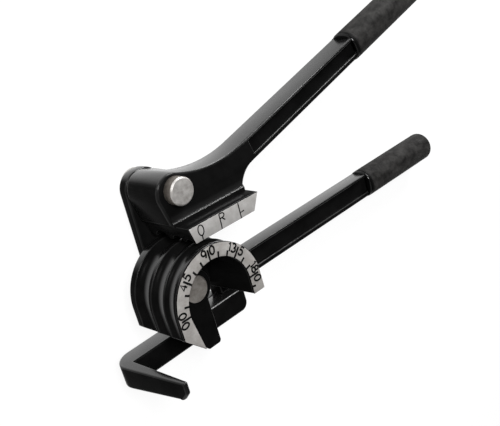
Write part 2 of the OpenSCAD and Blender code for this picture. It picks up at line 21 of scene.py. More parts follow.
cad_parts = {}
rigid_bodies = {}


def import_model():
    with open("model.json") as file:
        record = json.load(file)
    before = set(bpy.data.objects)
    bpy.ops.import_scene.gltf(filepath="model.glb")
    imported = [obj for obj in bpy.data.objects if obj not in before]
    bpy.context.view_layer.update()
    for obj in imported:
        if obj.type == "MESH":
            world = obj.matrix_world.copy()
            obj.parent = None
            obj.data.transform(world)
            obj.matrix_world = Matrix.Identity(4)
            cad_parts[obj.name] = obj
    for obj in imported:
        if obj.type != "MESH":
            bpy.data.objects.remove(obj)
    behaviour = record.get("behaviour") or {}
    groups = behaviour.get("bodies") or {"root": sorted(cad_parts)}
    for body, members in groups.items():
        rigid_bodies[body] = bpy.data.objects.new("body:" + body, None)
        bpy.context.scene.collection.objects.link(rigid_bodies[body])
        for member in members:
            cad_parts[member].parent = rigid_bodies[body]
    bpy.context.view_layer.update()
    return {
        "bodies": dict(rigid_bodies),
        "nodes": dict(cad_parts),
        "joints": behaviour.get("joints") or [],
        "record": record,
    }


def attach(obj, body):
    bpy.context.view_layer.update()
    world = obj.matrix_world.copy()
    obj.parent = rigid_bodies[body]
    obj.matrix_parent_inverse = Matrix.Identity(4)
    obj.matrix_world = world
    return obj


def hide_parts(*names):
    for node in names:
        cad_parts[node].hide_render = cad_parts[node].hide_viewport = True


LOG = logging.getLogger("tube_bender")
MM = 0.001

# Attribute of a painted piece that holds its coat's share, from 0 to 1; the coat is a painted sheen
# on upper sides and a painted highlight on the floors of grooves
COAT = "coat"
# Edges with a larger angle are sharp
SHARP_DEG = 30.0
# Turn of the lever and its shoe about the bend centre at rest
SHOE_TURN_DEG = -1.5
# Edge radii of the pieces that both halves have
PLATE_EDGE_MM = 0.3
GRIP_EDGE_MM = 0.8
PIN_EDGE_MM = 0.1
# Least normal along Z of a plate's face and of a pin's bevelled head
PLATE_FRONT_Z = 0.9
PIN_FRONT_Z = 0.6

Point = tuple[float, float]
Place = tuple[float, float, float]
Colour = tuple[float, float, float, float]


class Body(Enum):
    """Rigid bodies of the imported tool."""

    FRAME = "frame"
    LINK = "link"
    LEVER = "lever"


class Slot(Enum):
    """Material slots of the record."""

    PAINT = "paint"
    BARE = "bare_metal"
    STEEL = "steel"
    GRIP = "grip"


class Graph:
    """Adds nodes to one node tree and links their sockets."""

    def __init__(self, tree: bpy.types.NodeTree) -> None:
        """Keep the tree that the nodes go into.

        Args:
            tree: An empty shader or geometry node tree.
        """
        self.tree = tree

    def node(self, kind: str, *values: object, props: dict[str, object] | None = None,
             **named: object) -> bpy.types.Node:
        """Add one node.

        Args:
            kind: The node's type name.
            *values: Values or output sockets for the inputs in order; None skips one.
            props: Attributes of the node itself.
            **named: Values or output sockets by input name, with _ for a space.

        Returns:
            The new node.
        """
        made = self.tree.nodes.new(kind)
        for name, value in (props or {}).items():
            setattr(made, name, value)
        pairs = [(made.inputs[i], value) for i, value in enumerate(values)]
        pairs += [(made.inputs[name.replace("_", " ")], value) for name, value in named.items()]
        for socket, value in pairs:
            if isinstance(value, bpy.types.NodeSocket):
                self.tree.links.new(value, socket)
            elif value is not None:
                socket.default_value = value
        return made

    def math(self, operation: str, *values: object) -> bpy.types.NodeSocket:
        """Add a Math node and return its result.

        Args:
            operation: The node's operation, such as MULTIPLY.
            *values: Numbers or sockets.

        Returns:
            The result socket.
        """
        return self.node("ShaderNodeMath", *values, props={"operation": operation}).outputs[0]

    def spread(self, factor: bpy.types.NodeSocket, low: float, high: float) -> bpy.types.NodeSocket:
        """Map a factor of 0 to 1 onto a range.

        Args:
            factor: The factor.
            low: Result at 0.
            high: Result at 1.

        Returns:
            The mapped value.
        """
        return self.node("ShaderNodeMapRange", factor, 0.0, 1.0, low, high).outputs[0]

    def noise(self, place: bpy.types.NodeSocket, scale: float, detail: float,
              rough: float = 0.5) -> bpy.types.NodeSocket:
        """Add a noise texture.

        Args:
            place: Coordinates in metres.
            scale: Patches per metre.
            detail: Number of finer layers.
            rough: Strength of each finer layer.

        Returns:
            The noise from 0 to 1.
        """
        made = self.node("ShaderNodeTexNoise", place, Scale=scale, Detail=detail, Roughness=rough)
        return made.outputs[0]

    def bump(self, height: bpy.types.NodeSocket, strength: float,
             depth_mm: float) -> bpy.types.NodeSocket:
        """Add a bump and return its normal.

        Args:
            height: The relief from 0 to 1.
            strength: How strongly it shows.
            depth_mm: Its depth.

        Returns:
            The bumped normal.
        """
        made = self.node("ShaderNodeBump", Strength=strength, Distance=depth_mm * MM, Height=height)
        return made.outputs[0]

    def mix(self, factor: bpy.types.NodeSocket, first: object,
            second: object) -> bpy.types.NodeSocket:
        """Mix two colours or colour sockets straight by a factor.

        Args:
            factor: Share of the second colour.
            first: Colour at 0.
            second: Colour at 1.

        Returns:
            The mixed colour.
        """
        skipped = [None] * 5  # The node's sockets for numbers and vectors
        made = self.node("ShaderNodeMix", factor, *skipped, first, second,
                         props={"data_type": "RGBA"})
        return made.outputs[2]

    def blend(self, factor: bpy.types.NodeSocket, first: Colour, second: Colour, low: float = 0.3,
              high: float = 0.7) -> bpy.types.NodeSocket:
        """Mix two colours by a factor with a ramp.

        Args:
            factor: The factor, usually a noise.
            first: Colour at the low mark.
            second: Colour at the high mark.
            low: Factor that gives the first colour.
            high: Factor that gives the second colour.

        Returns:
            The mixed colour.
        """
        ramp = self.node("ShaderNodeValToRGB", factor)
        for element, spot, colour in zip(ramp.color_ramp.elements, (low, high), (first, second)):
            element.position = spot
            element.color = colour
        return ramp.outputs[0]


def grey(value: float, warm: float = 0.0) -> Colour:
    """Return a neutral or slightly warm colour.

    Args:
        value: Brightness.
        warm: Share by which red rises and blue falls.

    Returns:
        The colour with full alpha.
    """
    return (value * (1 + warm), value, value * (1 - warm), 1.0)


@dataclass(frozen=True)
class Finish:
    """Base of every finish: a named procedural material on Object coordinates."""

    name: str

    def material(self) -> bpy.types.Material:
        """Return the finish's material, built once.

        Returns:
            The material.
        """
        found = bpy.data.materials.get(self.name)
        if found:
            return found
        made = bpy.data.materials.new(self.name)
        made.use_nodes = True
        made.node_tree.nodes.clear()
        graph = Graph(made.node_tree)
        place = graph.node("ShaderNodeTexCoord").outputs["Object"]
        shader = self.shader(graph, place)
        graph.node("ShaderNodeOutputMaterial", shader.outputs[0])
        return made

    def shader(self, graph: Graph, place: bpy.types.NodeSocket) -> bpy.types.Node:
        """Build the surface shader.

        Args:
            graph: The material's nodes.
            place: Object coordinates in metres.

        Returns:
            The shader node.
        """
        raise NotImplementedError


@dataclass(frozen=True)
class GlossPaint(Finish):
    """Sprayed paint over a casting, with a gloss coat where the piece's own attribute says so,
    which lays a painted sheen on upper sides and a painted highlight on groove floors.
    """

    colour: Colour = grey(0.003)
    # Second tone mixed in by clouds: dust on the paint, and on the edge finishes part of the
    # painted highlight
    dust_and_sheen: Colour = grey(0.006)
    smooth: float = 0.16
    dull: float = 0.3
    clouds_per_m: float = 90.0
    peel_mm: float = 1.1
    peel_depth_mm: float = 0.2
    peel_strength: float = 0.05
    mirror: float = 0.005
    coat_ior: float = 1.78
    coat_rough: float = 0.2

    def shader(self, graph: Graph, place: bpy.types.NodeSocket) -> bpy.types.Node:
        """Build the surface shader.

        Args:
            graph: The material's nodes.
            place: Object coordinates in metres.

        Returns:
            The shader node.
        """
        cloud = graph.noise(place, self.clouds_per_m, detail=5.0, rough=0.6)
        peel = graph.noise(place, 1 / (self.peel_mm * MM), detail=2.0)
        normal = graph.bump(peel, self.peel_strength, self.peel_depth_mm)
        # The attribute lays the coat: a painted sheen on upper sides, a painted highlight on groove
        # floors
        coat = graph.node("ShaderNodeAttribute", props={"attribute_name": COAT}).outputs["Fac"]
        return graph.node(
            "ShaderNodeBsdfPrincipled",
            Base_Color=graph.blend(cloud, self.colour, self.dust_and_sheen),
            Roughness=graph.spread(cloud, self.smooth, self.dull),
            Specular_IOR_Level=self.mirror,
            Normal=normal,
            Coat_Weight=coat,
            Coat_Roughness=self.coat_rough,
            Coat_IOR=self.coat_ior,
            Coat_Normal=normal,
        )


@dataclass(frozen=True)
class MachinedFace(Finish):
    """Flat face of light metal with fine straight cutter marks."""

    colour: Colour = grey(0.47, 0.02)
    stain: Colour = grey(0.35, 0.035)
    metal: float = 0.35
    polish: float = 0.42
    dull: float = 0.55
    clouds_per_m: float = 260.0
    cut_turn: float = 0.5
    cut_stretch: float = 0.06
    cut_mm: float = 0.16
    cut_depth_mm: float = 0.05
    cut_strength: float = 0.12
    uneven: Point = (0.8, 1.2)

    def shader(self, graph: Graph, place: bpy.types.NodeSocket) -> bpy.types.Node:
        """Build the surface shader.

        Args:
            graph: The material's nodes.
            place: Object coordinates in metres.

        Returns:
            The shader node.
        """
        cloud = graph.noise(place, self.clouds_per_m, detail=6.0, rough=0.65)
        turned = graph.node("ShaderNodeMapping", place, Rotation=(0.0, 0.0, self.cut_turn),
                            Scale=(self.cut_stretch, 1.0, 1.0))
        cuts = graph.noise(turned.outputs[0], 1 / (self.cut_mm * MM), detail=2.0)
        mixed = graph.math("MULTIPLY", cloud, graph.spread(cuts, *self.uneven))
        return graph.node(
            "ShaderNodeBsdfPrincipled",
            Base_Color=graph.blend(mixed, self.colour, self.stain),
            Metallic=self.metal,
            Roughness=graph.spread(cuts, self.polish, self.dull),
            Normal=graph.bump(cuts, self.cut_strength, self.cut_depth_mm),
        )


@dataclass(frozen=True)
class TurnedSteel(Finish):
    """Steel turned on a lathe: rings round an axis along Z."""

    axis: Point = (0.0, 0.0)
    colour: Colour = grey(0.46, 0.03)
    stain: Colour = grey(0.36, 0.045)
    metal: float = 0.55
    polish: float = 0.36
    dull: float = 0.52
    clouds_per_m: float = 420.0
    ring_mm: float = 0.22
    ring_depth_mm: float = 0.04
    ring_strength: float = 0.25

    def shader(self, graph: Graph, place: bpy.types.NodeSocket) -> bpy.types.Node:
        """Build the surface shader.

        Args:
            graph: The material's nodes.
            place: Object coordinates in metres.

        Returns:
            The shader node.
        """
        x, y = self.axis
        centred = graph.node("ShaderNodeMapping", place, Location=(-x, -y, 0.0),
                             Scale=(1.0, 1.0, 0.0))
        reach = graph.node("ShaderNodeVectorMath", centred.outputs[0],
                           props={"operation": "LENGTH"})
        rings = graph.node("ShaderNodeTexNoise", props={"noise_dimensions": "1D"}, Detail=3.0,
                           W=reach.outputs["Value"], Scale=1 / (self.ring_mm * MM)).outputs[0]
        cloud = graph.noise(place, self.clouds_per_m, detail=6.0, rough=0.7)
        return graph.node(
            "ShaderNodeBsdfPrincipled",
            Base_Color=graph.blend(cloud, self.colour, self.stain),
            Metallic=self.metal,
            Roughness=graph.spread(rings, self.polish, self.dull),
            Normal=graph.bump(rings, self.ring_strength, self.ring_depth_mm),
        )


@dataclass(frozen=True)
class SleeveRubber(Finish):
    """Matt moulded sleeve with rubbed, mottled patches, darkened near its mouth as painted shade.
    """

    axis: Place = (1.0, 0.0, 0.0)
    # Place of the mouth along the axis, and where the painted shade there is full and where it ends
    mouth_mm: float = 0.0
    dark_mm: float = 1.28
    clear_mm: float = 3.2
    colour: Colour = grey(0.006, 0.03)
    rubbed: Colour = grey(0.032, 0.03)
    # Colour the sleeve darkens to at its mouth: painted shade
    shade: Colour = grey(0.0012)
    mirror: float = 0.06
    smooth: float = 0.5
    dull: float = 0.72
    patch_mm: float = 4.0
    grain_mm: float = 0.35
    grain_depth_mm: float = 0.08
    grain_strength: float = 0.25

    def shader(self, graph: Graph, place: bpy.types.NodeSocket) -> bpy.types.Node:
        """Build the surface shader.

        Args:
            graph: The material's nodes.
            place: Object coordinates in metres.

        Returns:
            The shader node.
        """
        patch = graph.noise(place, 1 / (self.patch_mm * MM), detail=6.0, rough=0.62)
        grain = graph.noise(place, 1 / (self.grain_mm * MM), detail=3.0)
        # Darken towards the mouth: painted shade where the beam enters the sleeve
        along = graph.node("ShaderNodeVectorMath", place, self.axis,
                           props={"operation": "DOT_PRODUCT"})
        start, end = ((self.mouth_mm + depth) * MM for depth in (self.dark_mm, self.clear_mm))
        clear = graph.node("ShaderNodeMapRange", along.outputs["Value"], start, end,
                           props={"interpolation_type": "SMOOTHSTEP"}).outputs[0]
        return graph.node(
            "ShaderNodeBsdfPrincipled",
            Base_Color=graph.mix(clear, self.shade, graph.blend(patch, self.colour, self.rubbed)),
            Roughness=graph.spread(patch, self.smooth, self.dull),
            Specular_IOR_Level=self.mirror,
            Normal=graph.bump(grain, self.grain_strength, self.grain_depth_mm),
        )


@dataclass(frozen=True)
class StampedInk(Finish):
    """Dull black filling of stamped marks."""

    colour: Colour = grey(0.002)
    worn: Colour = grey(0.008)
    wear_per_m: float = 1900.0
    smooth: float = 0.5
    dull: float = 0.75
    mirror: float = 0.05

    def shader(self, graph: Graph, place: bpy.types.NodeSocket) -> bpy.types.Node:
        """Build the surface shader.

        Args:
            graph: The material's nodes.
            place: Object coordinates in metres.

        Returns:
            The shader node.
        """
        wear = graph.noise(place, self.wear_per_m, detail=4.0)
        return graph.node(
            "ShaderNodeBsdfPrincipled",
            Base_Color=graph.blend(wear, self.colour, self.worn),
            Roughness=graph.spread(wear, self.smooth, self.dull),
            Specular_IOR_Level=self.mirror,
        )


PAINT = GlossPaint("gloss_black_paint")
# Edge finish, lighter and far glossier than the paint: a painted highlight along the rounded edges
HIGHLIGHT_EDGE_PAINT = GlossPaint("paint_edge_painted_highlight", colour=grey(0.008), dust_and_sheen=grey(0.03), smooth=0.24,
                         dull=0.38, mirror=0.2, coat_ior=1.36)
# A dimmer painted highlight for edges that should show less light
SOFT_HIGHLIGHT_EDGE_PAINT = GlossPaint("paint_edge_soft_painted_highlight", colour=grey(0.004), dust_and_sheen=grey(0.012), smooth=0.24,
                       dull=0.38, mirror=0.1)
SHOE_METAL = MachinedFace("machined_shoe_metal")
DIAL_METAL = MachinedFace("machined_dial_metal", colour=grey(0.43, 0.035), stain=grey(0.26, 0.06))
# Near-black rounded mouth edge of the sleeves: painted shade at the mouth
SLEEVE_LIP_PAINTED_SHADE = SleeveRubber("sleeve_lip_painted_shade", colour=grey(0.0012), rubbed=grey(0.002), mirror=0.25,
                          smooth=0.16, dull=0.28)
INK = StampedInk("stamped_ink")
PLAIN_STEEL = TurnedSteel("plain_steel")
# Darker, warm steel on the pins' sides: painted shade with a warm painted reflection
PIN_SIDE_PAINTED_SHADE = TurnedSteel("pin_side_painted_shade", colour=grey(0.13, 0.12), stain=grey(0.06, 0.16))
BEARING_BRONZE = TurnedSteel("bearing_bronze", colour=(0.42, 0.28, 0.12, 1.0),
                             stain=(0.33, 0.2, 0.08, 1.0))


def mesh_object(name: str, mesh: bpy.types.Mesh) -> bpy.types.Object:
    """Put a mesh into the scene at the origin.

    Args:
        name: Name of the object and of its mesh.
        mesh: The mesh, with its place in its vertices.

    Returns:
        The new object.
    """
    mesh.name = name
    made = bpy.data.objects.new(name, mesh)
    bpy.context.scene.collection.objects.link(made)
    return made


def frozen(source: bpy.types.Object) -> bpy.types.Mesh:
    """Return a plain mesh of an object with its modifiers applied, and remove the object.

    Args:
        source: The object to evaluate.

    Returns:
        The finished mesh.
    """
    graph = bpy.context.evaluated_depsgraph_get()
    mesh = bpy.data.meshes.new_from_object(source.evaluated_get(graph), depsgraph=graph)
    bpy.data.objects.remove(source)
    return mesh


def smooth_faces(mesh: bpy.types.Mesh) -> None:
    """Shade a mesh smooth, apart from its sharp edges.

    Args:
        mesh: The mesh to shade.
    """
    mesh.polygons.foreach_set("use_smooth", [True] * len(mesh.polygons))
    mesh.set_sharp_from_angle(angle=math.radians(SHARP_DEG))


def smoothstep(value: float, low: float, high: float) -> float:
    """Rise softly from 0 to 1 between two marks.

    Args:
        value: The value to map.
        low: Values up to this give 0.
        high: Values from this on give 1.

    Returns:
        The share.
    """
    share = min(max((value - low) / (high - low), 0.0), 1.0)
    return share * share * (3 - 2 * share)


def mark_coat(mesh: bpy.types.Mesh, share: Callable[[Vector, Vector], float]) -> None:
    """Write the paint's coat, a painted sheen and painted highlight, at each corner of a mesh.

    Args:
        mesh: The finished, shaded mesh.
        share: The coat's share for a corner's place and the surface's direction there.
    """
    shares = [share(mesh.vertices[loop.vertex_index].co, normal.vector)
              for loop, normal in zip(mesh.loops, mesh.corner_normals)]
    mesh.attributes.new(COAT, "FLOAT", "CORNER").data.foreach_set("value", shares)


@dataclass(frozen=True)
class WideEdges:
    """Round stretch of a casting that has its own edge radius, edge finish with its painted
    highlight, and coat with its painted sheen.
    """

    centre_mm: Place
    reach_mm: float
    radius_mm: float
    edge: Finish
    coat: float

    def covers(self, spot: Vector) -> bool:
        """Tell whether a point lies in the stretch.

        Args:
            spot: The point in metres.

        Returns:
            True inside the stretch.
        """
        return (spot - Vector(self.centre_mm) * MM).length < self.reach_mm * MM


@dataclass
class SoftCopy:
    """Copy of one solid whose sharp edges are rounded over, as on a real casting.

    Attributes:
        node: The solid's node.
        body: The body that carries it.
        slot: Its material slot in the record; not used.
        face: Finish of its faces.
        edge: Finish of its rounded edges.
        radius_mm: Radius of its edges.
        wide: A stretch that is rounded more.
        front_z: Faces that point less to the front than this get the edge's finish.
        coat: Share of the gloss coat on upper sides, a painted sheen where faces point up.
        groove_mm: Inner and outer reach of grooves round the origin with coated floors, a painted
            highlight in the grooves.
        split: True where a face goes round a hole and is cut into convex faces first.
    """

    node: str
    body: Body
    slot: Slot
    face: Finish
    edge: Finish
    radius_mm: float
    wide: WideEdges | None = None
    front_z: float | None = None
    coat: float = 0.0
    groove_mm: Point | None = None
    split: bool = False

    FACE: ClassVar[int] = 0
    EDGE: ClassVar[int] = 1
    WIDE: ClassVar[int] = 2
    SEGMENTS: ClassVar[int] = 3
    SAME_MM: ClassVar[float] = 0.002
    FLAT_DEG: ClassVar[float] = 0.3
    # Normal marks for the painted sheen on upper sides and for the painted highlight on groove
    # floors
    UPPER: ClassVar[Point] = (0.62, 0.98)
    FLOOR: ClassVar[Point] = (0.8, 0.99)

    def build(self, frame: dict) -> bpy.types.Object:
        """Make the copy and let it stand for its solid.

        Args:
            frame: The loaded frame.

        Returns:
            The finished piece.
        """
        piece = mesh_object(f"{self.node}_piece", self._rounded(frame["nodes"][self.node].data))
        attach(piece, self.body.value)
        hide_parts(self.node)
        return piece

    def _rounded(self, solid: bpy.types.Mesh) -> bpy.types.Mesh:
        """Return the solid's mesh with joined flat faces and rounded edges.

        Args:
            solid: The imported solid's loose triangles.

        Returns:
            The rounded mesh.
        """
        blank = mesh_object(f"{self.node}_blank", self._joined(solid))
        bevel = blank.modifiers.new("edges", "BEVEL")
        bevel.width = self._largest() * MM
        bevel.segments = self.SEGMENTS
        bevel.limit_method = "WEIGHT"
        bevel.use_clamp_overlap = False
        bevel.material = self.EDGE
        result = frozen(blank)
        for face in result.polygons:
            if self.front_z is not None:
                face.material_index = self.FACE if face.normal.z > self.front_z else self.EDGE
            if self.wide and face.material_index == self.EDGE and self.wide.covers(face.center):
                face.material_index = self.WIDE
        smooth_faces(result)
        if self.coat:
            mark_coat(result, self._coat)
        return result

    def _joined(self, solid: bpy.types.Mesh) -> bpy.types.Mesh:
        """Return the solid's mesh with joined flat faces, weighted edges and its finishes.

        Args:
            solid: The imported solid's loose triangles.

        Returns:
            The joined mesh.
        """
        mesh = bpy.data.meshes.new(self.node)
        mesh.from_pydata([v.co for v in solid.vertices], [], [p.vertices for p in solid.polygons])
        work = bmesh.new()
        work.from_mesh(mesh)
        bmesh.ops.remove_doubles(work, verts=work.verts, dist=self.SAME_MM * MM)
        bmesh.ops.dissolve_limit(work, angle_limit=math.radians(self.FLAT_DEG), verts=work.verts,
                                 edges=work.edges)
        if self.split:
            bmesh.ops.connect_verts_concave(work, faces=work.faces)
        self._weigh(work)
        work.to_mesh(mesh)
        work.free()
        finishes = [self.face, self.edge] + ([self.wide.edge] if self.wide else [])
        for finish in finishes:
            mesh.materials.append(finish.material())
        return mesh

    def _coat(self, spot: Vector, normal: Vector) -> float:
        """Return the coat's share: a painted sheen, full on upper sides, and a painted highlight on
        the floors of grooves.

        Args:
            spot: A corner's place in metres.
            normal: The surface's direction there.

        Returns:
            The share from 0 to 1.
        """
        wide = self.wide is not None and self.wide.covers(spot)
        share = (self.wide.coat if wide else self.coat) * smoothstep(normal.y, *self.UPPER)
        reach = spot.xy.length
        # Floors of the grooves that face outwards get the coat as a painted highlight
        if self.groove_mm and self.groove_mm[0] * MM < reach < self.groove_mm[1] * MM:
            share = max(share, smoothstep(normal.xy.dot(spot.xy) / reach, *self.FLOOR))
        return share

    def _largest(self) -> float:
        """Return the largest edge radius.

        Returns:
            The radius in millimetres.
        """
        return max(self.radius_mm, self.wide.radius_mm if self.wide else 0.0)

    def _weigh(self, work: bmesh.types.BMesh) -> None:
        """Give each outer sharp edge a weight for its radius.

        Args:
            work: The joined mesh.
        """
        weights = work.edges.layers.float.new("bevel_weight_edge")
        limit = math.radians(SHARP_DEG)
        for edge in work.edges:
            if edge.is_manifold and edge.is_convex and edge.calc_face_angle() > limit:
                middle = (edge.verts[0].co + edge.verts[1].co) / 2
                wide = self.wide is not None and self.wide.covers(middle)
                radius_mm = self.wide.radius_mm if wide else self.radius_mm
                edge[weights] = radius_mm / self._largest()


def arc(centre: Point, radii: Point, start: float, end: float, steps: int = 14) -> list[Point]:
    """Return points along an elliptical arc.

    Args:
        centre: The ellipse's centre.
        radii: Its two radii.
        start: First angle in degrees.
        end: Last angle in degrees.
        steps: Number of chords.

    Returns:
        The points from start to end.
    """
    angles = [math.radians(start + (end - start) * i / steps) for i in range(steps + 1)]
    return [(centre[0] + radii[0] * math.cos(angle), centre[1] + radii[1] * math.sin(angle))
            for angle in angles]


# Strokes of each sign in a cell that is 1 wide and 1 high
SIGNS: dict[str, list[list[Point]]] = {
    "0": [arc((0.5, 0.5), (0.5, 0.5), 90, 450, 24)],
    "1": [[(0.2, 0.82), (0.52, 1.0), (0.52, 0.0)]],
    "3": [arc((0.45, 0.74), (0.42, 0.26), 150, -90), arc((0.45, 0.26), (0.5, 0.26), 90, -150)],
    "4": [[(0.74, 0.0), (0.74, 1.0), (0.0, 0.32), (1.0, 0.32)]],
    "5": [[(0.95, 1.0), (0.24, 1.0), (0.14, 0.56), *arc((0.46, 0.32), (0.5, 0.32), 128, -150)]],
    # The loops have different chords, so that they share no corner where they touch
    "8": [arc((0.5, 0.75), (0.38, 0.25), 90, 450, 21), arc((0.5, 0.25), (0.5, 0.25), 90, 450, 20)],
    "9": [arc((0.5, 0.68), (0.45, 0.32), 0, 360, 20),
          [(0.95, 0.68), (0.93, 0.45), (0.83, 0.2), (0.66, 0.0)]],
    "R": [[(0.0, 0.0), (0.0, 1.0)],
          [(0.0, 1.0), *arc((0.45, 0.74), (0.5, 0.26), 90, -90), (0.0, 0.46)],
          [(0.42, 0.47), (0.95, 0.1)]],
    "L": [[(0.0, 0.33), (0.0, 0.0), (1.0, 0.06)]],
}


@dataclass
class Engraver:
    """Draws marks as thin filled strokes on a flat face."""

    width_mm: float
    face_mm: float
    rise_mm: float = 0.03
    mesh: bmesh.types.BMesh = field(default_factory=bmesh.new)

    SAME_MM: ClassVar[float] = 1e-6
    SECTION: ClassVar[tuple[tuple[int, int], ...]] = ((1, 1), (-1, 1), (-1, -1), (1, -1))

    def stroke(self, points: list[Point]) -> None:
        """Draw one stroke of even width.

        Args:
            points: Its centre line in millimetres.
        """
        loop = math.dist(points[0], points[-1]) < self.SAME_MM
        line = [Vector(p) for p in (points[:-1] if loop else points)]
        count = len(line)
        rows = []
        for i, here in enumerate(line):
            before = line[i - 1] if loop or i else here
            after = line[(i + 1) % count] if loop or i < count - 1 else here
            along = ((after - here).normalized() + (here - before).normalized()).normalized()
            side = Vector((-along.y, along.x)) * (self.width_mm / 2)
            rows.append([self._corner(here + side * across, up) for across, up in self.SECTION])
        for i in range(count if loop else count - 1):
            self._join(rows[i], rows[(i + 1) % count])
        if not loop:
            self.mesh.faces.new(rows[0])
            self.mesh.faces.new(reversed(rows[-1]))

    def _corner(self, spot: Vector, up: int) -> bmesh.types.BMVert:
        """Add one corner of a stroke's section.

        Args:
            spot: Its place on the face in millimetres.
            up: 1 above the face, -1 below it.

        Returns:
            The new corner.
        """
        height = self.face_mm + up * self.rise_mm
        return self.mesh.verts.new((spot.x * MM, spot.y * MM, height * MM))

    def _join(self, first: list[bmesh.types.BMVert], second: list[bmesh.types.BMVert]) -> None:
        """Close the sides between two sections.

        Args:
            first: Corners of the one section.
            second: Corners of the next.
        """
        for i in range(len(first)):
            j = (i + 1) % len(first)
            self.mesh.faces.new((first[i], first[j], second[j], second[i]))

    def sign(self, name: str, cell: Matrix, size: Point) -> None:
        """Draw one numeral or letter.

        Args:
            name: The sign.
            cell: Place and turn of the cell's centre, in millimetres.
            size: The cell's width and height.
        """
        for points in SIGNS[name]:
            flat = [cell @ Vector(((x - 0.5) * size[0], (y - 0.5) * size[1], 0.0))
                    for x, y in points]
            self.stroke([(p.x, p.y) for p in flat])

    def finish(self, name: str, body: Body, turn: Matrix) -> bpy.types.Object:
        """Turn the strokes into one piece.

        Args:
            name: The piece's name.
            body: The body that carries it.
            turn: Turn of the marked piece in the tool.

        Returns:
            The finished piece.
        """
        bmesh.ops.recalc_face_normals(self.mesh, faces=self.mesh.faces)
        mesh = bpy.data.meshes.new(name)
        self.mesh.to_mesh(mesh)
        self.mesh.free()
        mesh.transform(turn)
        mesh.materials.append(INK.material())
        piece = mesh_object(name, mesh)
        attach(piece, body.value)
        return piece


@dataclass
class DegreeScale:
    """Marks of the degree scale round the former."""

    inner_mm: float = 16.8
    face_mm: float = 50.7
    step_deg: float = 15.0
    tick_count: int = 14
    short_mm: float = 2.5
    long_mm: float = 5.0
    tick_w_mm: float = 0.95
    tick_h_mm: float = 0.06
    sign_w_mm: float = 0.87
    sign_r_mm: float = 20.75
    sign_size: Point = (2.35, 3.6)
    labels: tuple[tuple[float, str, str], ...] = (
        (0.0, "0", "0"), (45.0, "4", "5"), (90.0, "9", "0"), (135.0, "13", "5"),
        (180.0, "18", "0"))
    sign_gap_deg: float = 6.1
    sign_step_deg: float = 6.0

    def build(self) -> list[bpy.types.Object]:
        """Make the ticks and the numerals.

        Returns:
            The two pieces.
        """
        return [self._ticks(), self._numerals()]

    def _numerals(self) -> bpy.types.Object:
        """Draw each label's two halves on either side of its tick.

        Returns:
            The piece.
        """
        pen = Engraver(self.sign_w_mm, self.face_mm)
        for angle, left, right in self.labels:
            for i, name in enumerate(reversed(left)):
                self._numeral(pen, name, angle - self.sign_gap_deg - i * self.sign_step_deg)
            for i, name in enumerate(right):
                self._numeral(pen, name, angle + self.sign_gap_deg + i * self.sign_step_deg)
        return pen.finish("scale_numerals", Body.FRAME, Matrix.Identity(4))

    def _numeral(self, pen: Engraver, name: str, bend_deg: float) -> None:
        """Draw one numeral whose top points outwards.

        Args:
            pen: Draws the strokes.
            name: The numeral.
            bend_deg: Its place on the scale.
        """
        polar = math.radians(180.0 - bend_deg)
        spot = Vector((math.cos(polar), math.sin(polar), 0.0)) * self.sign_r_mm
        cell = Matrix.Translation(spot) @ Matrix.Rotation(polar - math.pi / 2, 4, "Z")
        pen.sign(name, cell, self.sign_size)

    def _ticks(self) -> bpy.types.Object:
        """Lay the ticks round the scale with Geometry Nodes.

        Returns:
            The piece.
        """
        carrier = mesh_object("scale_ticks_base", bpy.data.meshes.new("scale_ticks_base"))
        layout = TickLayout()
        modifier = carrier.modifiers.new("ticks", "NODES")
        modifier.node_group = layout.tree()
        layout.set(modifier, {
            "Count": self.tick_count, "Step": -math.radians(self.step_deg), "Start": math.pi,
            "Inner": self.inner_mm * MM, "Short": self.short_mm * MM, "Long": self.long_mm * MM,
            "Width": self.tick_w_mm * MM, "Height": self.face_mm * MM,
            "Rise": self.tick_h_mm * MM, "Ink": INK.material(),
        })
        piece = mesh_object("scale_ticks", frozen(carrier))
        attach(piece, Body.FRAME.value)
        return piece


